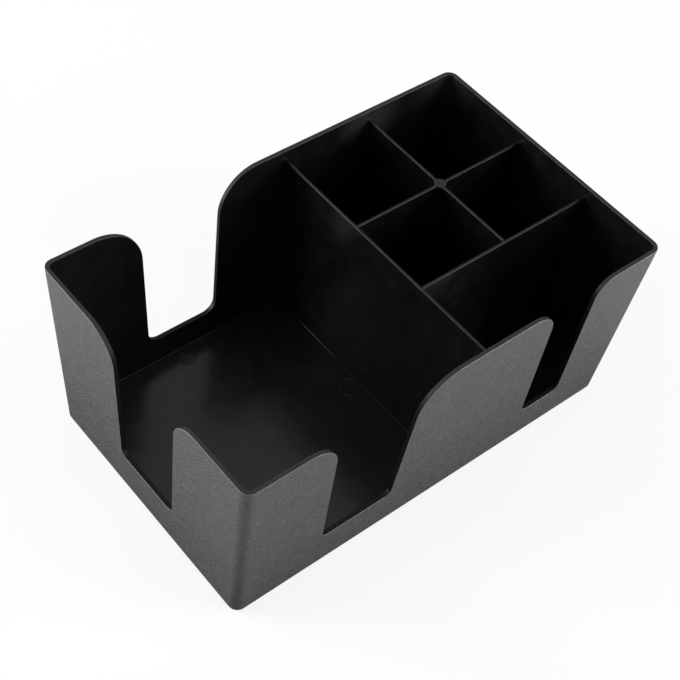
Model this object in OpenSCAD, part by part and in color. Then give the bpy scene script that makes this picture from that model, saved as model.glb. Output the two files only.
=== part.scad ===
// Bar caddy for napkins, straws and garnishes.
// A leaning-walled tray is divided into a napkin bay on the left, four small cells at the back right and
// a long bay in front of them. Finger cut-outs go down from the rim. Four anti-slip feet sit underneath.
// X runs left to right, Y from front to back and Z up. The origin is the middle of the footprint, on the
// surface that the feet stand on.

/* [Shell] */
// Length over the rim, left to right
caddy_l = 241; // [225:1:265]
// Width over the rim, front to back
caddy_w = 148; // [138:1:165]
// Height from the shell's underside to the rim
caddy_h = 104; // [95:1:120]
// How far each outer face leans in between the rim and the underside
lean = 5.7; // [4:0.1:8]
// Outer corner radius at the rim
rim_corner_r = 5.2; // [4.2:0.1:9]
// Outer corner radius at the underside
base_corner_r = 4.8; // [4:0.1:8]
// Wall thickness at the rim
rim_wall_t = 2.2; // [1.6:0.1:3]
// Wall thickness at the underside
base_wall_t = 2.5; // [1.8:0.1:3.2]
// Height of the floor's upper face above the underside
floor_top = 5.2; // [4:0.1:7]
// Floor thickness, over the hollow in the underside
floor_t = 2.5; // [2:0.1:3.5]
// Width of the skirt that is left round the hollow in the underside
skirt_t = 3; // [2:0.1:5]
// Corner radius of the hollow in the underside
hollow_corner_r = 2; // [1:0.1:4]
// Bevel round the underside's outer edge
base_bevel = 0.6; // [0.2:0.1:1.2]

/* [Front cut-out of the napkin bay] */
// Middle of the cut-out's floor, from the middle of the caddy
front_cut_x = -48.7; // [-52:0.1:-45]
// Width of the cut-out's floor
front_cut_w = 40.1; // [34:0.1:44]
// Height of the cut-out's floor above the underside
front_cut_z = 23.2; // [16:0.1:35]
// How far the left side leans out on the way up
front_cut_lean_left = 3.8; // [0:0.1:5]
// How far the right side leans out on the way up
front_cut_lean_right = 2.7; // [0:0.1:5]
// Radius of the cut-out's lower corners
front_cut_floor_r = 3.6; // [1:0.1:8]
// Radius of the left shoulder, at the rim
front_cut_shoulder_left_r = 16.7; // [8:0.1:20]
// Radius of the right shoulder, at the rim
front_cut_shoulder_right_r = 21.8; // [10:0.1:26]

/* [Front cut-out of the long bay] */
// Middle of the cut-out's floor, from the middle of the caddy
bay_cut_x = 68; // [64:0.1:72]
// Width of the cut-out's floor
bay_cut_w = 24.6; // [20:0.1:30]
// Height of the cut-out's floor above the underside
bay_cut_z = 22.1; // [16:0.1:35]
// How far the left side leans out on the way up
bay_cut_lean_left = 3.2; // [0:0.1:5]
// How far the right side leans in on the way up
bay_cut_lean_in_right = 1.1; // [0:0.1:3]
// Radius of the cut-out's lower corners
bay_cut_floor_r = 4.6; // [1:0.1:8]
// Radius of the left shoulder, at the rim
bay_cut_shoulder_left_r = 15.2; // [8:0.1:20]
// Radius of the right shoulder, at the rim
bay_cut_shoulder_right_r = 10.4; // [6:0.1:14]

/* [Cut-out of the left wall] */
// Middle of the cut-out's floor, from the middle of the caddy
side_cut_y = -1.2; // [-5:0.1:5]
// Width of the cut-out's floor
side_cut_w = 39; // [34:0.1:44]
// Height of the cut-out's floor above the underside
side_cut_z = 23.6; // [16:0.1:35]
// How far the front side leans out on the way up
side_cut_lean_front = 4.3; // [0:0.1:5]
// How far the back side leans out on the way up
side_cut_lean_back = 1.3; // [0:0.1:5]
// Radius of the cut-out's lower corners
side_cut_floor_r = 4.6; // [1:0.1:8]
// Radius of the front shoulder, at the rim
side_cut_shoulder_front_r = 15.6; // [8:0.1:20]
// Radius of the back shoulder, at the rim
side_cut_shoulder_back_r = 17.6; // [8:0.1:22]

/* [Back cut-out of the napkin bay] */
// Middle of the cut-out's floor, from the middle of the caddy
back_cut_x = -47.4; // [-51:0.1:-44]
// Width of the cut-out's floor
back_cut_w = 39.6; // [34:0.1:44]
// Height of the cut-out's floor above the underside
back_cut_z = 20.3; // [16:0.1:35]
// How far the left side leans out on the way up
back_cut_lean_left = 2.9; // [0:0.1:5]
// How far the right side leans out on the way up
back_cut_lean_right = 2.6; // [0:0.1:5]
// Radius of the cut-out's lower corners
back_cut_floor_r = 6.8; // [1:0.1:9]
// Radius of the left shoulder, at the rim
back_cut_shoulder_left_r = 25.1; // [10:0.1:28]
// Radius of the right shoulder, at the rim
back_cut_shoulder_right_r = 22.3; // [10:0.1:28]

/* [Dividers] */
// How far the dividers' tops lie below the rim
divider_drop = 5.5; // [2:0.1:15]
// Thickness of every divider at its top
divider_top_t = 1.4; // [1:0.1:2]
// Thickness of every divider where it meets the floor
divider_base_t = 2; // [1.4:0.1:3]
// Middle of the full-width divider, from the middle of the caddy
napkin_divider_x = 13.1; // [8:0.1:18]
// Middle of the divider behind the long front bay, from the middle of the caddy
bay_divider_y = -26.4; // [-32:0.1:-22]
// Middle of the cells' left-to-right wall, from the middle of the caddy
cell_wall_y = 19; // [14:0.1:24]
// Middle of the cells' front-to-back wall, from the middle of the caddy
cell_wall_x = 65.2; // [60:0.1:70]
// Diameter of the round pad at the crossing of the cells' walls
pad_d = 6; // [4:0.1:9]

/* [Feet] */
// Diameter of a foot
foot_d = 12; // [8:0.1:16]
// How far a foot stands out of the underside
foot_proud = 1.5; // [0.8:0.1:3]
// Depth of the recess that a foot is glued into
foot_seat_depth = 1; // [0.5:0.1:1.4]
// Gap all round a foot in its recess
foot_seat_gap = 0.2; // [0.1:0.05:0.5]
// Rounding of a foot's lower edge
foot_edge_r = 0.8; // [0.3:0.1:1]
// Distance from a foot's middle to the outer faces of the shell, at the underside
foot_inset = 14; // [12:0.1:25]
// Width of the solid land between a foot's recess and the hollow in the underside
foot_land = 2.5; // [1.5:0.1:4]

/* [Hidden] */
// How far a cutting shape runs past what it cuts
overrun = 1;
// Straight steps in a quarter turn of the shell's corners
corner_steps = 8;
// Straight steps in each rounded corner of a cut-out
arc_steps = 16;
// Steps in a full turn of a recess, the pad and a foot
round_facets = 96;
shell_colour = "#55565a";
divider_colour = "#1d1d1f";
foot_colour = "#2e2e2e";
divider_top_z = caddy_h - divider_drop;
// The cut-outs reach past the wall where it is furthest in, which is at its foot
cut_depth = lean + base_wall_t + 2 * overrun;
foot_x = caddy_l / 2 - lean - foot_inset;
foot_y = caddy_w / 2 - lean - foot_inset;
// From a foot's middle to the hollow
foot_to_hollow = foot_d / 2 + foot_seat_gap + foot_land;

// Share of the way down from the rim at height z
function down_share(z) = (caddy_h - z) / caddy_h;
// Distance between the outer face and its place at the rim, at height z
function outer_lean(z) = lean * down_share(z);
function wall_t(z) = rim_wall_t + (base_wall_t - rim_wall_t) * down_share(z);
function corner_r(z) = rim_corner_r + (base_corner_r - rim_corner_r) * down_share(z);
// Half the cavity's length and width at height z
function cavity_x(z) = caddy_l / 2 - outer_lean(z) - wall_t(z);
function cavity_y(z) = caddy_w / 2 - outer_lean(z) - wall_t(z);
// Half a divider's thickness at height z
function half_divider_t(z) =
    let (share = (divider_top_z - z) / (divider_top_z - floor_top))
        (divider_top_t + (divider_base_t - divider_top_t) * share) / 2;

// Points of a round-cornered rectangle at height z, half_l by half_w, with corner radius r
function ring(half_l, half_w, r, z) = [
    for (corner = [[1, 1, 0], [-1, 1, 90], [-1, -1, 180], [1, -1, 270]])
        for (i = [0 : corner_steps])
            let (a = corner[2] + 90 * i / corner_steps)
                [corner[0] * (half_l - r) + r * cos(a), corner[1] * (half_w - r) + r * sin(a), z]
];
function outer_ring(z, bevel = 0) =
    ring(caddy_l / 2 - outer_lean(z) - bevel, caddy_w / 2 - outer_lean(z) - bevel, corner_r(z) - bevel, z);
function cavity_ring(z) = ring(cavity_x(z), cavity_y(z), corner_r(z) - wall_t(z), z);

// Solid between rings that lie one above the other, given from the lowest up
module stack_of_rings(rings) {
    n = len(rings[0]);
    top = len(rings) - 1;
    polyhedron(
        points = [for (one_ring = rings) each one_ring],
        faces = [
            [for (i = [0 : n - 1]) i],
            [for (i = [0 : n - 1]) top * n + n - 1 - i],
            for (level = [0 : top - 1])
                for (i = [0 : n - 1])
                    let (next = (i + 1) % n)
                        [level * n + i, (level + 1) * n + i, (level + 1) * n + next, level * n + next]
        ]
    );
}

function cross_2d(p, q) = p[0] * q[1] - p[1] * q[0];

// Points of an arc of radius r that rounds the corner at point v. The sides leave the corner along the
// unit directions a and b, and the arc runs from the first to the second.
function rounded_corner(v, a, b, r) =
    let (
        half_angle = acos(a * b) / 2,
        reach = r / tan(half_angle),
        middle = v + (a + b) / norm(a + b) * r / sin(half_angle),
        start = v + a * reach - middle,
        end = v + b * reach - middle,
        turn = sign(cross_2d(start, end)) * (180 - 2 * half_angle)
    )
    [
        for (i = [0 : arc_steps])
            let (t = turn * i / arc_steps)
                middle + [start[0] * cos(t) - start[1] * sin(t), start[0] * sin(t) + start[1] * cos(t)]
    ];

// Outline of a cut-out that is open at the rim, with its floor's middle at u = 0.
// low is the side towards smaller u, and high the other one.
module cutout_outline(w, floor_z, lean_low, lean_high, floor_r, shoulder_low_r, shoulder_high_r) {
    depth = caddy_h - floor_z;
    up_low = [-lean_low, depth] / norm([lean_low, depth]);
    up_high = [lean_high, depth] / norm([lean_high, depth]);
    floor_low = [-w / 2, floor_z];
    floor_high = [w / 2, floor_z];
    low_edge = concat(
        rounded_corner(floor_low + [-lean_low, depth], [-1, 0], -up_low, shoulder_low_r),
        rounded_corner(floor_low, up_low, [1, 0], floor_r)
    );
    high_edge = concat(
        rounded_corner(floor_high, [-1, 0], up_high, floor_r),
        rounded_corner(floor_high + [lean_high, depth], -up_high, [1, 0], shoulder_high_r)
    );
    above = [0, overrun];
    polygon(concat([low_edge[0] + above], low_edge, high_edge, [high_edge[len(high_edge) - 1] + above]));
}

// Turns an outline into a cutter through the wall at the front, reaching cut_depth into the caddy
module front_cutter(x) {
    translate([x, cut_depth - caddy_w / 2, 0]) rotate([90, 0, 0])
        linear_extrude(cut_depth + overrun) children();
}

module back_cutter(x) {
    translate([x, caddy_w / 2 + overrun, 0]) rotate([90, 0, 0])
        linear_extrude(cut_depth + overrun) children();
}

module left_cutter(y) {
    translate([-caddy_l / 2 - overrun, y, 0]) rotate([90, 0, 90])
        linear_extrude(cut_depth + overrun) children();
}

module cutouts() {
    front_cutter(front_cut_x)
        cutout_outline(front_cut_w, front_cut_z, front_cut_lean_left, front_cut_lean_right,
                       front_cut_floor_r, front_cut_shoulder_left_r, front_cut_shoulder_right_r);
    front_cutter(bay_cut_x)
        cutout_outline(bay_cut_w, bay_cut_z, bay_cut_lean_left, -bay_cut_lean_in_right,
                       bay_cut_floor_r, bay_cut_shoulder_left_r, bay_cut_shoulder_right_r);
    back_cutter(back_cut_x)
        cutout_outline(back_cut_w, back_cut_z, back_cut_lean_left, back_cut_lean_right,
                       back_cut_floor_r, back_cut_shoulder_left_r, back_cut_shoulder_right_r);
    left_cutter(side_cut_y)
        cutout_outline(side_cut_w, side_cut_z, side_cut_lean_front, side_cut_lean_back,
                       side_cut_floor_r, side_cut_shoulder_front_r, side_cut_shoulder_back_r);
}

// Raises what is modelled from the underside to its height above the feet
module on_feet() {
    translate([0, 0, foot_proud]) children();
}

// A round-cornered block that cuts the hollow out of the underside. Two of them cross, and leave solid
// corners for the feet.
module underside_hollow(half_l, half_w) {
    stack_of_rings([ring(half_l, half_w, hollow_corner_r, -overrun),
                    ring(half_l, half_w, hollow_corner_r, floor_top - floor_t)]);
}

module caddy_shell() {
    color(shell_colour) on_feet() difference() {
        stack_of_rings([outer_ring(0, base_bevel), outer_ring(base_bevel), outer_ring(caddy_h)]);
        stack_of_rings([cavity_ring(floor_top), cavity_ring(caddy_h + overrun)]);
        cutouts();
        underside_hollow(caddy_l / 2 - lean - skirt_t, foot_y - foot_to_hollow);
        underside_hollow(foot_x - foot_to_hollow, caddy_w / 2 - lean - skirt_t);
        for (x = [-foot_x, foot_x], y = [-foot_y, foot_y])
            translate([x, y, -overrun])
                cylinder(d = foot_d + 2 * foot_seat_gap, h = foot_seat_depth + overrun, $fn = round_facets);
    }
}

// A wall that tapers upwards. It stands on the floor at the middle of its thickness, and its ends are
// the lines from low_ends[0] to high_ends[0] and from low_ends[1] to high_ends[1]. It runs along X.
module tapered_wall(low_ends, high_ends) {
    longest = caddy_l + caddy_w;
    low_t = 2 * half_divider_t(floor_top);
    intersection() {
        translate([longest / 2, 0, 0]) rotate([90, 0, -90]) linear_extrude(longest)
            polygon([[-low_t / 2, floor_top], [low_t / 2, floor_top],
                     [divider_top_t / 2, divider_top_z], [-divider_top_t / 2, divider_top_z]]);
        translate([0, low_t, 0]) rotate([90, 0, 0]) linear_extrude(2 * low_t)
            polygon([[low_ends[0], floor_top], [low_ends[1], floor_top],
                     [high_ends[1], divider_top_z], [high_ends[0], divider_top_z]]);
    }
}

module napkin_divider() {
    color(divider_colour) on_feet() translate([napkin_divider_x, 0, 0]) rotate([0, 0, 90])
        tapered_wall([-cavity_y(floor_top), cavity_y(floor_top)],
                     [-cavity_y(divider_top_z), cavity_y(divider_top_z)]);
}

// A wall from the napkin divider to the right-hand wall of the shell
module wall_to_the_right() {
    tapered_wall([napkin_divider_x + half_divider_t(floor_top), cavity_x(floor_top)],
                 [napkin_divider_x + half_divider_t(divider_top_z), cavity_x(divider_top_z)]);
}

module bay_divider() {
    color(divider_colour) on_feet() translate([0, bay_divider_y, 0]) wall_to_the_right();
}

module cell_cross() {
    color(divider_colour) on_feet() {
        translate([0, cell_wall_y, 0]) wall_to_the_right();
        translate([cell_wall_x, 0, 0]) rotate([0, 0, 90])
            tapered_wall([bay_divider_y + half_divider_t(floor_top), cavity_y(floor_top)],
                         [bay_divider_y + half_divider_t(divider_top_z), cavity_y(divider_top_z)]);
        translate([cell_wall_x, cell_wall_y, floor_top])
            cylinder(d = pad_d, h = divider_top_z - floor_top, $fn = round_facets);
    }
}

// An anti-slip foot, with a rounded lower edge, standing on the ground at the origin
module foot() {
    foot_h = foot_proud + foot_seat_depth;
    flat_r = foot_d / 2 - foot_edge_r;
    color(foot_colour) rotate_extrude($fn = round_facets) {
        square([flat_r, foot_h]);
        translate([0, foot_edge_r]) square([foot_d / 2, foot_h - foot_edge_r]);
        intersection() {
            translate([flat_r, foot_edge_r]) circle(r = foot_edge_r, $fn = round_facets);
            square([foot_d / 2, foot_edge_r]);
        }
    }
}

module foot_front_left() { translate([-foot_x, -foot_y, 0]) foot(); }
module foot_front_right() { translate([foot_x, -foot_y, 0]) foot(); }
module foot_back_left() { translate([-foot_x, foot_y, 0]) foot(); }
module foot_back_right() { translate([foot_x, foot_y, 0]) foot(); }

caddy_shell();
napkin_divider();
bay_divider();
cell_cross();
foot_front_left();
foot_front_right();
foot_back_left();
foot_back_right();
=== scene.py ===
"""Looks of a bar caddy for napkins, straws and garnishes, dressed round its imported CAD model.

Everything is in metres in the CAD frame: X runs left to right, Y from front to back and Z up. Sizes are
written in millimetres times MM. Each piece takes its size from the CAD node that it stands for.
"""
import math

import bmesh
import bpy
import numpy as np
from mathutils import Matrix, Vector


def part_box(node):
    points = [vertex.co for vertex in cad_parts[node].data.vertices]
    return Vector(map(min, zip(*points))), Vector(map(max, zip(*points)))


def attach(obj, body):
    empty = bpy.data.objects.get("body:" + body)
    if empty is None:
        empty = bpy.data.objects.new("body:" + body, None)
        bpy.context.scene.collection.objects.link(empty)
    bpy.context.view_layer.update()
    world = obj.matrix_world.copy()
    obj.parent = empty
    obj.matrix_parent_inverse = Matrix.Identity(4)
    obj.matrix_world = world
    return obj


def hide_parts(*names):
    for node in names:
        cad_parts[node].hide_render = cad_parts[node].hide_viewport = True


MM = 0.001
UP = Vector((0, 0, 1))

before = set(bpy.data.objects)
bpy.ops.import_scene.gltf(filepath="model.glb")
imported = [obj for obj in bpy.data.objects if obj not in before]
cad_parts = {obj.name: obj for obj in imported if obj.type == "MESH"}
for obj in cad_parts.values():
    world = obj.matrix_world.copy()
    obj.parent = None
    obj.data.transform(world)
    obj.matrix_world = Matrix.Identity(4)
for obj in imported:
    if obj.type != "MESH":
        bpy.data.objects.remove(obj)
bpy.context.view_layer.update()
rim_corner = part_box("caddy_shell")[1]
floor_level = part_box("napkin_divider")[0].z
divider_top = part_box("napkin_divider")[1].z

# Camera, worked out from the photograph

PHOTO_SIDE = 680
FOCAL_PIXELS = 1494.9
SENSOR_WIDTH = 36
CAMERA_AZIMUTH = math.radians(-46.69)
CAMERA_ELEVATION = math.radians(49.76)
CAMERA_ROLL = math.radians(9.66)
CAMERA_TARGET = Vector((-6.29, -1.07, 51.62)) * MM
CAMERA_DISTANCE = 705.2 * MM
# Nearest and furthest that the camera sees
CAMERA_REACH = (10 * MM, 20)


def direction(azimuth, elevation):
    """Unit vector from the object. Azimuth 0 is the front, and 90 degrees is the right."""
    level = math.cos(elevation)
    return Vector((math.sin(azimuth) * level, -math.cos(azimuth) * level, math.sin(elevation)))


def make_camera():
    back = direction(CAMERA_AZIMUTH, CAMERA_ELEVATION)
    level_right = Vector((math.cos(CAMERA_AZIMUTH), math.sin(CAMERA_AZIMUTH), 0))
    level_up = back.cross(level_right)
    right = math.cos(CAMERA_ROLL) * level_right + math.sin(CAMERA_ROLL) * level_up
    up = back.cross(right)
    camera = bpy.data.objects.new("camera", bpy.data.cameras.new("camera"))
    bpy.context.scene.collection.objects.link(camera)
    placing = Matrix((right, up, back)).transposed().to_4x4()
    placing.translation = CAMERA_TARGET + back * CAMERA_DISTANCE
    camera.matrix_world = placing
    camera.data.sensor_width = SENSOR_WIDTH
    camera.data.lens = FOCAL_PIXELS * SENSOR_WIDTH / PHOTO_SIDE
    camera.data.clip_start, camera.data.clip_end = CAMERA_REACH
    bpy.context.scene.camera = camera


# Node helpers

# A noise texture spends nearly all its values in this range
NOISE_LOW = 0.3
NOISE_HIGH = 0.7
# The two shaders that a Mix Shader takes have the same name, so they are told apart by number
FIRST_SHADER = 1
SECOND_SHADER = 2


def math_node(tree, operation, first, second):
    """Result of a sum on two sockets, or on a socket and a number."""
    node = tree.nodes.new("ShaderNodeMath")
    node.operation = operation
    tree.links.new(first, node.inputs[0])
    if isinstance(second, (int, float)):
        node.inputs[1].default_value = second
    else:
        tree.links.new(second, node.inputs[1])
    return node.outputs["Value"]


def vector_node(tree, operation, place, fixed=None):
    """A node that works on a vector socket, or on that and a fixed vector."""
    node = tree.nodes.new("ShaderNodeVectorMath")
    node.operation = operation
    tree.links.new(place, node.inputs[0])
    if fixed is not None:
        node.inputs[1].default_value = fixed
    return node


def height_of(tree, place):
    """The Z of a vector socket."""
    axes = tree.nodes.new("ShaderNodeSeparateXYZ")
    tree.links.new(place, axes.inputs["Vector"])
    return axes.outputs["Z"]


def remap(tree, value, low, high, from_low=NOISE_LOW, from_high=NOISE_HIGH, smooth=False):
    """Takes a value between from_low and from_high to one between low and high."""
    node = tree.nodes.new("ShaderNodeMapRange")
    if smooth:
        node.interpolation_type = "SMOOTHSTEP"
    node.inputs["From Min"].default_value = from_low
    node.inputs["From Max"].default_value = from_high
    node.inputs["To Min"].default_value = low
    node.inputs["To Max"].default_value = high
    tree.links.new(value, node.inputs["Value"])
    return node.outputs["Result"]


def mix_values(tree, share, first, second):
    """The value first where share is 0, and the number second where it is 1."""
    node = tree.nodes.new("ShaderNodeMix")
    tree.links.new(share, node.inputs["Factor"])
    tree.links.new(first, node.inputs["A"])
    node.inputs["B"].default_value = second
    return node.outputs["Result"]


def mix_shaders(tree, share, first, second):
    """The shader first where share is 0, and second where it is 1."""
    node = tree.nodes.new("ShaderNodeMixShader")
    tree.links.new(share, node.inputs["Fac"])
    tree.links.new(first, node.inputs[FIRST_SHADER])
    tree.links.new(second, node.inputs[SECOND_SHADER])
    return node.outputs["Shader"]


# Studio

WHITE = (1, 1, 1, 1)
SOFTBOX_SIDE = 0.8
SOFTBOX_DISTANCE = 1.15
SOFTBOX_WATTS_LEFT = 19
SOFTBOX_WATTS_RIGHT = 15.3
SOFTBOX_ELEVATION = math.radians(15)
# How far each softbox stands round from the camera, so that the corner facing it stays darker
SOFTBOX_TURN = math.radians(85)
FLOOR_SIDE = 8
# Just under the feet, so that the two surfaces don't coincide
FLOOR_Z = -0.02 * MM
# Greys of the floor: to the camera, in the light that it throws back, and in gloss close to and far off
FLOOR_TO_CAMERA = 1
FLOOR_BOUNCE = 0.9
FLOOR_NEAR = 0.03
FLOOR_FAR = 0.6
FLOOR_CHANGE = 70 * MM
# Share of the floor's look that is plain white: to the camera, where it grows away from the object's faint
# shadow so that floor and world meet unseen, and in gloss
WHITE_TO_CAMERA = 0.82
WHITE_FAR = 1
WHITE_CHANGE = (100 * MM, 900 * MM)
WHITE_IN_GLOSS = 0.3
# Brightness of the world low down and high up, and the heights (as sines) between which it changes
WORLD_LOW = 0.25
WORLD_HIGH = 0.62
WORLD_CHANGE = (0.55, 0.95)
# Share of plain white in what gloss shows of the world
WORLD_IN_GLOSS = 0.05


def make_softbox(name, azimuth, watts):
    light = bpy.data.lights.new(name, "AREA")
    light.shape = "SQUARE"
    light.size = SOFTBOX_SIDE
    light.energy = watts
    lamp = bpy.data.objects.new(name, light)
    bpy.context.scene.collection.objects.link(lamp)
    outward = direction(azimuth, SOFTBOX_ELEVATION)
    lamp.location = outward * SOFTBOX_DISTANCE
    lamp.rotation_euler = outward.to_track_quat("Z", "Y").to_euler()
    lamp.visible_camera = False


def make_world():
    """A pale studio, dimmer at the horizon than overhead, that the camera sees as white."""
    world = bpy.data.worlds.new("studio")
    bpy.context.scene.world = world
    world.use_nodes = True
    tree = world.node_tree
    tree.nodes.clear()
    height = height_of(tree, tree.nodes.new("ShaderNodeTexCoord").outputs["Generated"])
    strength = remap(tree, height, WORLD_LOW, WORLD_HIGH, *WORLD_CHANGE, smooth=True)
    sky = tree.nodes.new("ShaderNodeBackground")
    tree.links.new(strength, sky.inputs["Strength"])
    white = tree.nodes.new("ShaderNodeBackground")
    for background in (sky, white):
        background.inputs["Color"].default_value = WHITE
    rays = tree.nodes.new("ShaderNodeLightPath")
    seen = math_node(tree, "MAXIMUM", rays.outputs["Is Camera Ray"], rays.outputs["Is Transmission Ray"])
    in_gloss = math_node(tree, "MULTIPLY", rays.outputs["Is Glossy Ray"], WORLD_IN_GLOSS)
    share = math_node(tree, "MAXIMUM", seen, in_gloss)
    look = mix_shaders(tree, share, sky.outputs["Background"], white.outputs["Background"])
    output = tree.nodes.new("ShaderNodeOutputWorld")
    tree.links.new(look, output.inputs["Surface"])


def distance_to_footprint(tree):
    """Distance of a floor point from the rectangle that the object covers."""
    place = tree.nodes.new("ShaderNodeTexCoord").outputs["Object"]
    mirrored = vector_node(tree, "ABSOLUTE", place).outputs["Vector"]
    past = vector_node(tree, "SUBTRACT", mirrored, (rim_corner.x, rim_corner.y, 0)).outputs["Vector"]
    outside = vector_node(tree, "MAXIMUM", past, (0, 0, 0)).outputs["Vector"]
    return vector_node(tree, "LENGTH", outside).outputs["Value"]


def floor_material():
    """White to the camera with a faint shadow. To the object's surfaces it is shaded close to the object."""
    material = bpy.data.materials.new("white_floor")
    material.use_nodes = True
    tree = material.node_tree
    tree.nodes.clear()
    rays = tree.nodes.new("ShaderNodeLightPath")
    camera = rays.outputs["Is Camera Ray"]
    away = distance_to_footprint(tree)
    grey = remap(tree, away, FLOOR_NEAR, FLOOR_FAR, 0, FLOOR_CHANGE, smooth=True)
    grey = mix_values(tree, rays.outputs["Is Diffuse Ray"], grey, FLOOR_BOUNCE)
    colour = mix_values(tree, camera, grey, FLOOR_TO_CAMERA)
    matt = tree.nodes.new("ShaderNodeBsdfDiffuse")
    tree.links.new(colour, matt.inputs["Color"])
    gloss = math_node(tree, "MAXIMUM", rays.outputs["Is Glossy Ray"], rays.outputs["Is Transmission Ray"])
    whitening = remap(tree, away, 0, WHITE_IN_GLOSS, 0, FLOOR_CHANGE, smooth=True)
    in_gloss = math_node(tree, "MULTIPLY", gloss, whitening)
    fading = remap(tree, away, WHITE_TO_CAMERA, WHITE_FAR, *WHITE_CHANGE, smooth=True)
    to_camera = math_node(tree, "MULTIPLY", camera, fading)
    white = tree.nodes.new("ShaderNodeEmission")
    white.inputs["Color"].default_value = WHITE
    share = math_node(tree, "MAXIMUM", to_camera, in_gloss)
    look = mix_shaders(tree, share, matt.outputs["BSDF"], white.outputs["Emission"])
    output = tree.nodes.new("ShaderNodeOutputMaterial")
    tree.links.new(look, output.inputs["Surface"])
    return material


def make_floor():
    half = FLOOR_SIDE / 2
    corners = [(x * half, y * half, FLOOR_Z) for x, y in ((-1, -1), (1, -1), (1, 1), (-1, 1))]
    mesh = bpy.data.meshes.new("studio_floor")
    mesh.from_pydata(corners, [], [(0, 1, 2, 3)])
    mesh.materials.append(floor_material())
    floor = bpy.data.objects.new("studio_floor", mesh)
    bpy.context.scene.collection.objects.link(floor)


def make_studio():
    make_softbox("softbox_left", CAMERA_AZIMUTH - SOFTBOX_TURN, SOFTBOX_WATTS_LEFT)
    make_softbox("softbox_right", CAMERA_AZIMUTH + SOFTBOX_TURN, SOFTBOX_WATTS_RIGHT)
    make_world()
    make_floor()


# Materials
# Names that end in _GRAIN give the size of a noise's features, and those in _RELIEF the height of the bumps,
# both in millimetres. Those that end in _TONE are steps from the dark grey to the pale one, which end in
# _DARK and _PALE. Those that end in _ROUGH are roughness. Where a _ROUGH_RANGE stands beside one, noise sets
# the roughness within that range, and _ROUGH is only what the shader's socket holds.

PLASTIC_IOR = 1.5

OUTSIDE_ROUGH = 0.55
OUTSIDE_ROUGH_RANGE = (0.48, 0.64)
OUTSIDE_DARK = (0.022, 0.022, 0.023)
OUTSIDE_PALE = (0.112, 0.112, 0.116)
OUTSIDE_GRAIN = 0.68
# The part of that noise's range that the tone follows, which is the middle of it
OUTSIDE_GRAIN_MIDDLE = (0.34, 0.66)
OUTSIDE_GRAIN_TONE = (0.14, 0.7)
OUTSIDE_CLOUD_GRAIN = 5
OUTSIDE_CLOUD_TONE = 0.1
# Draw marks are drawn out by these factors, so they run up the walls
DRAW_MARK_GRAIN = 0.9
DRAW_MARK_STRETCH = (1, 1, 40)
DRAW_MARK_TONE = 0.06
OUTSIDE_RELIEF = 0.16
# Shares of the relief that the grain and the draw marks have
GRAIN_OF_RELIEF = 0.8
DRAW_MARKS_OF_RELIEF = 0.12

# The outer edges are given paler greys than the outside, as a painted highlight line
EDGE_ROUGH = 0.4
EDGE_DARK = (0.085, 0.085, 0.088)
EDGE_PALE = (0.135, 0.135, 0.14)
EDGE_MOTTLE_GRAIN = 2.5
EDGE_GRAIN = 0.7
EDGE_RELIEF = 0.03

INSIDE_PALE = (0.022, 0.022, 0.0223)
INSIDE_WAVE_GRAIN = 22
INSIDE_WAVE_RELIEF = 0.08
INSIDE_HAZE_GRAIN = 9
INSIDE_HAZE_TONE = 0.15
# Middles of the pale patches painted on the inner faces as sheen, and how far they reach, in millimetres
PAINTED_SHEEN_SPOTS = [((58, 71, 101), 16), ((70, 71, 99), 20), ((112, 71, 104), 22)]
PAINTED_SHEEN_TONE = 0.85
SHEEN_SPOT_ROUGH = 0.1

RIM_ROUGH = 0.3
RIM_ROUGH_RANGE = (0.44, 0.52)
RIM_HIGHLIGHT_ROUGH = 0.1
RIM_SPECULAR = 0.2
RIM_DARK = (0.0045, 0.0045, 0.0047)
# The pale grey is a painted highlight on the up-facing tops of the cut edges and of the pad
RIM_PALE = (0.036, 0.036, 0.0365)
RIM_MOTTLE_GRAIN = 3
RIM_MOTTLE_TONE = (0.75, 1)
RIM_GRAIN = 1.2
RIM_RELIEF = 0.01
# A cut edge gets more painted highlight in its colour, and more roughness, as the Z of its normal and its
# height in millimetres rise through these ranges
PAINTED_HIGHLIGHT_FACING = (0.5, 0.95)
PAINTED_HIGHLIGHT_HEIGHT = (45, 75)

RUBBER_ROUGH = 0.8
RUBBER_DARK = (0.016, 0.016, 0.016)
RUBBER_PALE = (0.024, 0.024, 0.024)
RUBBER_GRAIN = 0.4
RUBBER_RELIEF = 0.03


def start_material(name, roughness):
    """A new material with its tree, shader and a texture vector in millimetres of the object."""
    material = bpy.data.materials.new(name)
    material.use_nodes = True
    tree = material.node_tree
    shader = tree.nodes["Principled BSDF"]
    shader.inputs["Roughness"].default_value = roughness
    shader.inputs["IOR"].default_value = PLASTIC_IOR
    coordinates = tree.nodes.new("ShaderNodeTexCoord")
    scaled = vector_node(tree, "SCALE", coordinates.outputs["Object"])
    scaled.inputs["Scale"].default_value = 1 / MM
    return material, tree, shader, scaled.outputs["Vector"]


def noise(tree, place, grain_mm, detail=2, stretch=(1, 1, 1)):
    """Smooth noise whose features are about grain_mm across, longer along the axes that stretch names."""
    mapping = tree.nodes.new("ShaderNodeMapping")
    mapping.inputs["Scale"].default_value = [1 / (grain_mm * s) for s in stretch]
    tree.links.new(place, mapping.inputs["Vector"])
    texture = tree.nodes.new("ShaderNodeTexNoise")
    texture.inputs["Scale"].default_value = 1
    texture.inputs["Detail"].default_value = detail
    tree.links.new(mapping.outputs["Vector"], texture.inputs["Vector"])
    return texture.outputs["Fac"]


def bump(tree, shader, height, depth_mm):
    """Height from 0 to 1 becomes relief of depth_mm."""
    node = tree.nodes.new("ShaderNodeBump")
    node.inputs["Distance"].default_value = depth_mm * MM
    tree.links.new(height, node.inputs["Height"])
    tree.links.new(node.outputs["Normal"], shader.inputs["Normal"])


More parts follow.
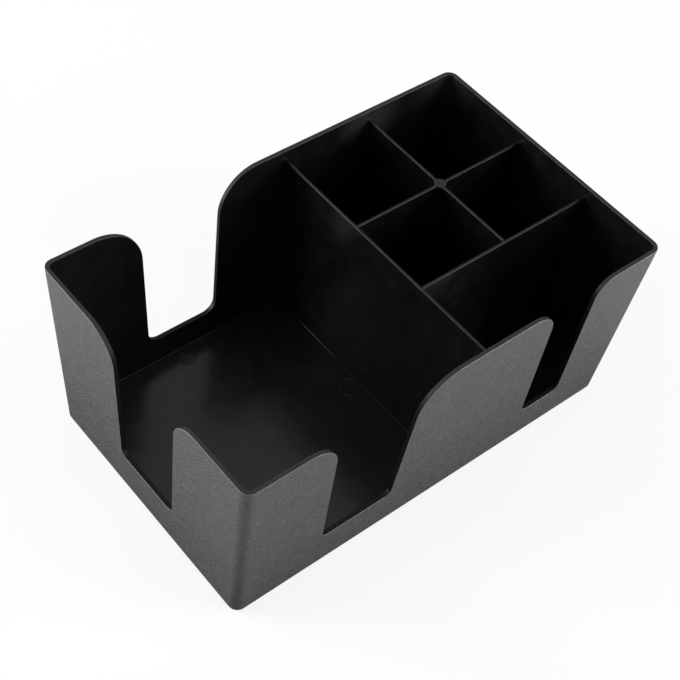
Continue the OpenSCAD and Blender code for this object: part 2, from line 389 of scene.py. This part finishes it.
def tint(tree, shader, value, dark, pale):
    """Base colour between two greys."""
    ramp = tree.nodes.new("ShaderNodeValToRGB")
    ramp.color_ramp.elements[0].color = (*dark, 1)
    ramp.color_ramp.elements[1].color = (*pale, 1)
    tree.links.new(value, ramp.inputs["Fac"])
    tree.links.new(ramp.outputs["Color"], shader.inputs["Base Color"])


def grained_plastic():
    """Outside of the shell: fine spark-eroded grain with faint draw marks up the walls."""
    material, tree, shader, place = start_material("grained_plastic", OUTSIDE_ROUGH)
    fine = noise(tree, place, OUTSIDE_GRAIN)
    clouds = noise(tree, place, OUTSIDE_CLOUD_GRAIN)
    draw_marks = noise(tree, place, DRAW_MARK_GRAIN, stretch=DRAW_MARK_STRETCH)
    grain_height = remap(tree, fine, 0, GRAIN_OF_RELIEF)
    mark_height = remap(tree, draw_marks, 0, DRAW_MARKS_OF_RELIEF)
    bump(tree, shader, math_node(tree, "ADD", grain_height, mark_height), OUTSIDE_RELIEF)
    cloud_tone = remap(tree, clouds, 0, OUTSIDE_CLOUD_TONE)
    streaked = math_node(tree, "ADD", cloud_tone, remap(tree, draw_marks, 0, DRAW_MARK_TONE))
    grain_tone = remap(tree, fine, *OUTSIDE_GRAIN_TONE, *OUTSIDE_GRAIN_MIDDLE)
    tint(tree, shader, math_node(tree, "ADD", grain_tone, streaked), OUTSIDE_DARK, OUTSIDE_PALE)
    tree.links.new(remap(tree, fine, *OUTSIDE_ROUGH_RANGE), shader.inputs["Roughness"])
    return material


def edge_highlight_plastic():
    """The outer edge of the rim and of the cut-outs, paler than the outside: a painted highlight line along
    the edges.
    """
    material, tree, shader, place = start_material("edge_highlight_plastic", EDGE_ROUGH)
    tint(tree, shader, noise(tree, place, EDGE_MOTTLE_GRAIN, detail=4), EDGE_DARK, EDGE_PALE)
    bump(tree, shader, remap(tree, noise(tree, place, EDGE_GRAIN, detail=3), 0, 1), EDGE_RELIEF)
    return material


def sheen_spot_share(tree, place):
    """From 0 to 1 towards the middles of the pale patches of painted sheen."""
    total = None
    for middle, reach in PAINTED_SHEEN_SPOTS:
        gap = vector_node(tree, "DISTANCE", place, middle).outputs["Value"]
        spot = remap(tree, gap, 1, 0, 0, reach, smooth=True)
        total = spot if total is None else math_node(tree, "MAXIMUM", total, spot)
    return total


def polished_plastic(name, darkest, smoothest, dullest):
    """Glossy black with pale patches of painted sheen, very slightly wavy: its darkest grey and its range of
    roughness.
    """
    material, tree, shader, place = start_material(name, smoothest)
    haze = noise(tree, place, INSIDE_HAZE_GRAIN, detail=3)
    waves = noise(tree, place, INSIDE_WAVE_GRAIN, detail=1)
    bump(tree, shader, remap(tree, waves, 0, 1), INSIDE_WAVE_RELIEF)
    patches = sheen_spot_share(tree, place)
    # The patches are painted sheen in the base colour; they are also made a little rougher
    sheen_tone = math_node(tree, "MULTIPLY", patches, PAINTED_SHEEN_TONE)
    shade = math_node(tree, "ADD", remap(tree, haze, 0, INSIDE_HAZE_TONE), sheen_tone)
    tint(tree, shader, shade, (darkest, darkest, darkest), INSIDE_PALE)
    patch_rough = math_node(tree, "MULTIPLY", patches, SHEEN_SPOT_ROUGH)
    rough = math_node(tree, "ADD", remap(tree, haze, smoothest, dullest), patch_rough)
    tree.links.new(rough, shader.inputs["Roughness"])
    return material


def painted_highlight_share(tree, place):
    """From 0 to 1 where a surface faces up, high on the walls: where the cut edges get a painted highlight.
    """
    normal = tree.nodes.new("ShaderNodeTexCoord").outputs["Normal"]
    facing = remap(tree, height_of(tree, normal), 0, 1, *PAINTED_HIGHLIGHT_FACING, smooth=True)
    high = remap(tree, height_of(tree, place), 0, 1, *PAINTED_HIGHLIGHT_HEIGHT, smooth=True)
    return math_node(tree, "MULTIPLY", facing, high)


def rim_plastic():
    """Cut edges of the walls: smooth low down, and dull on top, where a painted highlight makes them a
    little paler.
    """
    material, tree, shader, place = start_material("rim_plastic", RIM_ROUGH)
    shader.inputs["Specular IOR Level"].default_value = RIM_SPECULAR
    highlighted = painted_highlight_share(tree, place)
    mottle = noise(tree, place, RIM_MOTTLE_GRAIN, detail=4)
    # A paler base colour on the tops is a painted highlight
    highlight_tone = math_node(tree, "MULTIPLY", highlighted, remap(tree, mottle, *RIM_MOTTLE_TONE))
    tint(tree, shader, highlight_tone, RIM_DARK, RIM_PALE)
    dulling = math_node(tree, "MULTIPLY", highlighted, RIM_HIGHLIGHT_ROUGH)
    rough = math_node(tree, "ADD", remap(tree, mottle, *RIM_ROUGH_RANGE), dulling)
    tree.links.new(rough, shader.inputs["Roughness"])
    bump(tree, shader, remap(tree, noise(tree, place, RIM_GRAIN, detail=3), 0, 1), RIM_RELIEF)
    return material


def foot_rubber():
    """Feet: dull black rubber with a fine sandy skin."""
    material, tree, shader, place = start_material("foot_rubber", RUBBER_ROUGH)
    skin = noise(tree, place, RUBBER_GRAIN, detail=3)
    bump(tree, shader, remap(tree, skin, 0, 1), RUBBER_RELIEF)
    tint(tree, shader, skin, RUBBER_DARK, RUBBER_PALE)
    return material


# Mesh helpers

# Edges sharper than this stay sharp in the shading
SHARP_SHADING = math.radians(35)
# How far the normals of broad faces win over those of narrow ones, from 1 to 100
BROAD_FACE_WEIGHT = 100
# Points of a node within this of a height are at it
SAME_LEVEL = 0.05 * MM


def add_piece(name, mesh, materials, slot, *nodes):
    """A new piece that rides on the root body, takes the given materials and stands for the CAD nodes. Slot
    is not used.
    """
    piece = bpy.data.objects.new(name, mesh)
    bpy.context.scene.collection.objects.link(piece)
    for material in materials:
        mesh.materials.append(material)
    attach(piece, "root")
    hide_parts(*nodes)
    return piece


def smooth(mesh):
    mesh.shade_smooth()
    mesh.set_sharp_from_angle(angle=SHARP_SHADING)


def even_normals(piece):
    """Keeps the broad flat faces flat where they meet narrow rounded edges."""
    modifier = piece.modifiers.new("even_normals", "WEIGHTED_NORMAL")
    modifier.keep_sharp = True
    modifier.weight = BROAD_FACE_WEIGHT


def finished_mesh(piece):
    """The piece's mesh with its modifiers applied, as a new mesh."""
    graph = bpy.context.evaluated_depsgraph_get()
    return bpy.data.meshes.new_from_object(piece.evaluated_get(graph), depsgraph=graph)


def node_points(node):
    return np.array([v.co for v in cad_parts[node].data.vertices])


def reach_at(node, axis, level):
    """Highest place along an axis of the node's points at a height."""
    points = node_points(node)
    return points[abs(points[:, 2] - level) < SAME_LEVEL][:, axis].max()


# Shell

OUTER_ROUNDING = 0.35 * MM
INNER_ROUNDING = 0.2 * MM
FLOOR_FILLET = 0.35 * MM
BASE_ROUNDING = 0.3 * MM
ROUNDING_STEPS = 3
SHARP_EDGE = math.radians(20)
# Triangles that lie within this of one plane are one flat face
FLAT_JOIN = math.radians(0.2)
# Points closer than these are one point: in the CAD mesh, and after rounding
CAD_WELD = 0.001 * MM
ROUNDED_WELD = 0.002 * MM
# An edge this little above a level still ends at it
EDGE_SLACK = 0.1 * MM
# Deeper than this under the outer face is the inner face
WALL_SPLIT = 1.2 * MM
CORNER_RADIUS = 5 * MM
# Short step over which the way out of the wall is measured
PROBE_STEP = 0.01 * MM
# A rounded edge belongs to the wall's side while it faces that way by more than this cosine
TURNED = 0.6
FLAT = 0.985
# A face whose normal has a lower Z than this faces down
FACES_DOWN = -0.5
# Places of the materials in the shell's list
OUTER, INNER, RIM, EDGE = 0, 1, 2, 3
SHELL_BASE = min(p[2] for p in node_points("caddy_shell"))
BASE_BEVEL_TOP = SHELL_BASE + 0.6 * MM


def outer_half(axis, level):
    """Half the shell's outer length or width at a height, from its rim and its foot."""
    low = reach_at("caddy_shell", axis, BASE_BEVEL_TOP)
    high = rim_corner[axis]
    return low + (high - low) * (level - BASE_BEVEL_TOP) / (rim_corner.z - BASE_BEVEL_TOP)


OUTER_LOW = [outer_half(axis, SHELL_BASE) for axis in (0, 1)]
OUTER_HIGH = [rim_corner.x, rim_corner.y]


def depth_in_wall(point):
    """How far a point lies under the shell's outer face, seen from above."""
    share = (point.z - SHELL_BASE) / (rim_corner.z - SHELL_BASE)
    inset = []
    for axis in (0, 1):
        half = OUTER_LOW[axis] + (OUTER_HIGH[axis] - OUTER_LOW[axis]) * share
        inset.append(half - abs(point[axis]))
    if max(inset) < CORNER_RADIUS:
        return CORNER_RADIUS - math.hypot(CORNER_RADIUS - inset[0], CORNER_RADIUS - inset[1])
    return min(inset)


def outward_at(point):
    """Level direction out of the wall at a point: the way in which its depth falls fastest."""
    here = depth_in_wall(point)
    shifts = (Vector((PROBE_STEP, 0, 0)), Vector((0, PROBE_STEP, 0)))
    rise = [depth_in_wall(point + shift) - here for shift in shifts]
    return -Vector((*rise, 0)).normalized()


def face_kind(face):
    """Whether a face is on the outside, on the inside, or on the rim and the edges of the cut-outs."""
    middle = face.calc_center_median()
    depth = depth_in_wall(middle)
    under_floor = depth > WALL_SPLIT and middle.z < floor_level - FLOOR_FILLET
    if face.normal.z < FACES_DOWN or under_floor:
        return OUTER
    facing = face.normal.dot(outward_at(middle))
    if depth > WALL_SPLIT and (facing < -TURNED or middle.z < floor_level + FLOOR_FILLET):
        return INNER
    if depth < WALL_SPLIT and facing > TURNED:
        flat = facing > FLAT or middle.z < BASE_BEVEL_TOP + BASE_ROUNDING
        return OUTER if flat else EDGE
    return RIM


def welded(node):
    """The CAD node's mesh with its triangles joined into flat faces."""
    net = bmesh.new()
    net.from_mesh(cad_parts[node].data)
    bmesh.ops.remove_doubles(net, verts=net.verts, dist=CAD_WELD)
    bmesh.ops.dissolve_limit(net, angle_limit=FLAT_JOIN, verts=net.verts, edges=net.edges)
    net.normal_update()
    return net


def edge_rounding(edge):
    """Radius that an edge of the shell is rounded with."""
    if len(edge.link_faces) != 2 or edge.calc_face_angle(0) < SHARP_EDGE:
        return 0
    top = max(v.co.z for v in edge.verts)
    outside = min(depth_in_wall(v.co) for v in edge.verts) < WALL_SPLIT
    if top < BASE_BEVEL_TOP + EDGE_SLACK:
        return BASE_ROUNDING if outside else 0
    if top < floor_level + EDGE_SLACK:
        return FLOOR_FILLET
    return OUTER_ROUNDING if outside else INNER_ROUNDING


def make_shell(*materials):
    net = welded("caddy_shell")
    weights = net.edges.layers.float.new("bevel_weight_edge")
    for edge in net.edges:
        edge[weights] = edge_rounding(edge) / FLOOR_FILLET
    mesh = bpy.data.meshes.new("caddy_shell_looks")
    net.to_mesh(mesh)
    net.free()
    piece = add_piece("caddy_shell_looks", mesh, materials, "shell_plastic", "caddy_shell")
    rounding = piece.modifiers.new("rounded_edges", "BEVEL")
    rounding.limit_method = "WEIGHT"
    rounding.width = FLOOR_FILLET
    rounding.segments = ROUNDING_STEPS
    rounding.use_clamp_overlap = False
    rounded = finished_mesh(piece)
    piece.modifiers.clear()
    net = bmesh.new()
    net.from_mesh(rounded)
    bmesh.ops.remove_doubles(net, verts=net.verts, dist=ROUNDED_WELD)
    net.normal_update()
    for face in net.faces:
        face.material_index = face_kind(face)
    net.to_mesh(mesh)
    net.free()
    smooth(mesh)
    even_normals(piece)


# Dividers

DIVIDER_TOP_T = 1.4 * MM
DIVIDER_BASE_T = 2 * MM
TOP_ROUNDING = 0.22 * MM
FOOT_FILLET = 0.15 * MM
# How far dividers, pad and marks reach into what they stand on, so that no gap shows
SUNK = 0.3 * MM
STATION_STEP = 4 * MM
# Steps up a divider's flat sides, and in a quarter turn of its rounded top and its fillet
SIDE_STEPS = 12
ARC_STEPS = 4
# Points of a divider that are this close to its top, or to its end, are at it
AT_TOP = 0.01 * MM


def quarter_turns():
    """Angles through a quarter turn."""
    return [math.pi / 2 * i / ARC_STEPS for i in range(ARC_STEPS + 1)]


def divider_half_t(level):
    share = (divider_top - level) / (divider_top - floor_level)
    return (DIVIDER_TOP_T + (DIVIDER_BASE_T - DIVIDER_TOP_T) * share) / 2


def divider_profile():
    """Half a divider's cross-section from below the floor to its top: pairs of half thickness and height."""
    high = divider_top - TOP_ROUNDING
    low = floor_level + FOOT_FILLET
    points = [(divider_half_t(floor_level) + FOOT_FILLET, floor_level - SUNK)]
    for turn in quarter_turns():
        half_t = divider_half_t(low) + FOOT_FILLET * (1 - math.sin(turn))
        points.append((half_t, low - FOOT_FILLET * math.cos(turn)))
    for i in range(1, SIDE_STEPS):
        level = low + (high - low) * i / SIDE_STEPS
        points.append((divider_half_t(level), level))
    for turn in quarter_turns():
        half_t = divider_half_t(high) - TOP_ROUNDING * (1 - math.cos(turn))
        points.append((half_t, high + TOP_ROUNDING * math.sin(turn)))
    return points


def divider_mesh(name, along, across, low_ends, high_ends):
    """A divider along axis 0 or 1, at the place across, between its ends at the floor and at its top."""
    half = divider_profile()
    outline = [(-t, z) for t, z in half] + [(t, z) for t, z in reversed(half)]
    length = high_ends[1] - high_ends[0]
    stations = max(2, round(length / STATION_STEP))
    points = []
    for i in range(stations + 1):
        share = i / stations
        for t, z in outline:
            rise = (z - floor_level) / (divider_top - floor_level)
            ends = [low + (high - low) * rise for low, high in zip(low_ends, high_ends)]
            run = ends[0] - SUNK + (ends[1] - ends[0] + 2 * SUNK) * share
            point = [0, 0, z]
            point[along] = run
            point[1 - along] = across + t
            points.append(point)
    n = len(outline)
    faces = []
    for i in range(stations):
        for j in range(n):
            k = (j + 1) % n
            faces.append((i * n + j, i * n + k, (i + 1) * n + k, (i + 1) * n + j))
    # The ends are closed by rungs from side to side
    for j in range(len(half) - 1):
        rung = (j, j + 1, n - 2 - j, n - 1 - j)
        faces.append(rung)
        faces.append([stations * n + corner for corner in rung])
    mesh = bpy.data.meshes.new(name)
    mesh.from_pydata(points, [], faces)
    net = bmesh.new()
    net.from_mesh(mesh)
    bmesh.ops.recalc_face_normals(net, faces=net.faces)
    net.to_mesh(mesh)
    net.free()
    smooth(mesh)
    return mesh


def ends_on_wall(divider, axis):
    """Where a divider meets the wall that it ends on: at the floor, and at its top."""
    return reach_at(divider, axis, floor_level), reach_at(divider, axis, divider_top)


def add_divider(name, node, material, along, across, low_ends, high_ends):
    mesh = divider_mesh(name, along, across, low_ends, high_ends)
    piece = add_piece(name, mesh, [material], "divider_plastic", node)
    even_normals(piece)


def make_dividers(material):
    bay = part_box("bay_divider")
    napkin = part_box("napkin_divider")
    bay_y = (bay[0].y + bay[1].y) / 2
    napkin_x = (napkin[0].x + napkin[1].x) / 2
    cell_x, cell_y = cross_middle()
    right_low, right_high = ends_on_wall("bay_divider", 0)
    back_low, back_high = ends_on_wall("napkin_divider", 1)
    half_base = DIVIDER_BASE_T / 2
    half_top = DIVIDER_TOP_T / 2
    to_the_right = (napkin_x + half_base, right_low), (napkin_x + half_top, right_high)
    to_the_back = (bay_y + half_base, back_low), (bay_y + half_top, back_high)
    full_width = (-back_low, back_low), (-back_high, back_high)
    add_divider("napkin_divider_looks", "napkin_divider", material, 1, napkin_x, *full_width)
    add_divider("bay_divider_looks", "bay_divider", material, 0, bay_y, *to_the_right)
    add_divider("cell_wall_long", "cell_cross", material, 0, cell_y, *to_the_right)
    add_divider("cell_wall_short", "cell_cross", material, 1, cell_x, *to_the_back)


def cross_middle():
    """Where the cells' walls cross, from the ends of their tops in the CAD node."""
    points = node_points("cell_cross")
    tops = points[abs(points[:, 2] - divider_top) < AT_TOP]
    short_wall_end = tops[abs(tops[:, 1] - tops[:, 1].max()) < AT_TOP]
    long_wall_end = tops[abs(tops[:, 0] - tops[:, 0].max()) < AT_TOP]
    return short_wall_end[:, 0].mean(), long_wall_end[:, 1].mean()


# Round pieces

TURN_STEPS = 64
# A point of an outline that is closer than this to the axis is on it
ON_AXIS = 0.0001 * MM
PAD_RADIUS = 3 * MM
PAD_LIP = 0.7 * MM
PAD_DISH = 0.1 * MM
PAD_EDGE = 0.25 * MM
# Share of the edge's width that its middle stands back by
PAD_EDGE_BULGE = 0.3
# The pad's top stands this much proud of the walls that run into it
PAD_PROUD = 0.12 * MM
# Round moulding marks inside the shell, each a shallow disc with a slightly raised ring round it. The
# floor's are given as x, y and radius, and the walls' as the place along the wall and the height, all in
# millimetres.
FLOOR_MARKS = {
    "back_left": (-50.6, 58.6, 4.9),
    "back_right": (4, 59, 4.4),
    "middle_right": (6.4, -1.8, 5.5),
}
RIGHT_WALL_MARK = (-41.3, 54)
BACK_WALL_MARK = (-20.4, 68.5)
WALL_MARK_RADIUS = 3 * MM
# The ring's height, and how wide its outer and inner slopes are. The disc lies just above the face.
MARK_RISE = 0.15 * MM
MARK_OUTER_SLOPE = 0.6 * MM
MARK_INNER_SLOPE = 0.4 * MM
MARK_DISC_RISE = 0.03 * MM
FOOT_EDGE = 0.8 * MM
GROOVE = 0.35 * MM
# Where the grooves under a foot lie, as shares of its radius
GROOVE_PLACES = (0.35, 0.65)


def lathe(name, outline, middle):
    """A solid turned about a vertical axis. Its outline is pairs of radius and height, axis to axis."""
    net = bmesh.new()
    rings = []
    for radius, level in outline:
        if radius < ON_AXIS:
            rings.append([net.verts.new((middle[0], middle[1], level))])
            continue
        ring = []
        for i in range(TURN_STEPS):
            turn = 2 * math.pi * i / TURN_STEPS
            x = middle[0] + radius * math.cos(turn)
            y = middle[1] + radius * math.sin(turn)
            ring.append(net.verts.new((x, y, level)))
        rings.append(ring)
    for low, high in zip(rings, rings[1:]):
        for i in range(TURN_STEPS):
            k = (i + 1) % TURN_STEPS
            corners = [low[i % len(low)], low[k % len(low)], high[k % len(high)], high[i % len(high)]]
            net.faces.new(dict.fromkeys(corners))
    bmesh.ops.recalc_face_normals(net, faces=net.faces)
    mesh = bpy.data.meshes.new(name)
    net.to_mesh(mesh)
    net.free()
    smooth(mesh)
    return mesh


def make_pad(material):
    """Round post where the cells' walls cross, with a shallow dish in its top."""
    dish = PAD_RADIUS - PAD_LIP
    bulge = PAD_EDGE_BULGE * PAD_EDGE
    top = divider_top + PAD_PROUD
    outline = [
        (0, floor_level - SUNK),
        (PAD_RADIUS, floor_level - SUNK),
        (PAD_RADIUS, top - PAD_EDGE),
        (PAD_RADIUS - bulge, top - bulge),
        (PAD_RADIUS - PAD_EDGE, top),
        (dish, top),
        (dish - PAD_EDGE, top - PAD_DISH),
        (0, top - PAD_DISH),
    ]
    mesh = lathe("cell_pad", outline, cross_middle())
    # The pad's top takes the rim's painted highlight
    piece = add_piece("cell_pad", mesh, [material], "divider_plastic", "cell_cross")
    even_normals(piece)


def wall_face(divider, axis, level):
    """A wall's inner face at a height, and the direction into the box, from a divider that ends on it."""
    low, high = ends_on_wall(divider, axis)
    lean = (high - low) / (divider_top - floor_level)
    inward = Vector((0, 0, lean))
    inward[axis] = -1
    return low + lean * (level - floor_level), inward.normalized()


def add_pin_mark(place, radius, point, inward, material):
    """A moulding mark at a point of the shell's inner faces, facing inward."""
    outline = [
        (0, -SUNK),
        (radius, -SUNK),
        (radius, 0),
        (radius - MARK_OUTER_SLOPE, MARK_RISE),
        (radius - MARK_OUTER_SLOPE - MARK_INNER_SLOPE, MARK_DISC_RISE),
        (0, MARK_DISC_RISE),
    ]
    mesh = lathe("pin_mark_" + place, outline, (0, 0))
    mesh.transform(Matrix.Translation(point) @ inward.to_track_quat("Z", "Y").to_matrix().to_4x4())
    piece = add_piece("pin_mark_" + place, mesh, [material], "shell_plastic", "caddy_shell")
    even_normals(piece)


def make_pin_marks(material):
    for place, (x, y, radius) in FLOOR_MARKS.items():
        point = Vector((x * MM, y * MM, floor_level))
        add_pin_mark(place, radius * MM, point, UP, material)
    y, level = RIGHT_WALL_MARK
    x, inward = wall_face("bay_divider", 0, level * MM)
    add_pin_mark("right_wall", WALL_MARK_RADIUS, Vector((x, y * MM, level * MM)), inward, material)
    x, level = BACK_WALL_MARK
    y, inward = wall_face("napkin_divider", 1, level * MM)
    add_pin_mark("back_wall", WALL_MARK_RADIUS, Vector((x * MM, y, level * MM)), inward, material)


def make_foot(place, material):
    """A rubber disc with a rounded lower edge and two shallow ring grooves underneath."""
    low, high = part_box("foot_" + place)
    middle = (low + high) / 2
    radius = (high.x - low.x) / 2
    outline = [(0, low.z)]
    for share in GROOVE_PLACES:
        groove = radius * share
        outline += [
            (groove - 2 * GROOVE, low.z),
            (groove - GROOVE, low.z + GROOVE),
            (groove + GROOVE, low.z + GROOVE),
            (groove + 2 * GROOVE, low.z),
        ]
    for turn in quarter_turns():
        back = FOOT_EDGE * (1 - math.sin(turn))
        outline.append((radius - back, low.z + FOOT_EDGE * (1 - math.cos(turn))))
    outline += [(radius, high.z), (0, high.z)]
    mesh = lathe("foot_looks_" + place, outline, middle)
    piece = add_piece("foot_looks_" + place, mesh, [material], "foot_rubber", "foot_" + place)
    even_normals(piece)


# The whole caddy

# Darkest grey and range of roughness of the shell's inner faces, and of the dividers
SHELL_POLISH = (0.0042, 0.2, 0.26)
DIVIDER_POLISH = (0.0028, 0.15, 0.21)

make_camera()
make_studio()
polished = polished_plastic("polished_plastic", *SHELL_POLISH)
glossy = polished_plastic("glossy_plastic", *DIVIDER_POLISH)
rim = rim_plastic()
make_shell(grained_plastic(), polished, rim, edge_highlight_plastic())
make_dividers(glossy)
make_pad(rim)
make_pin_marks(polished)
rubber = foot_rubber()
for corner in ("front_left", "front_right", "back_left", "back_right"):
    make_foot(corner, rubber)

bpy.context.scene.view_settings.view_transform = "Standard"
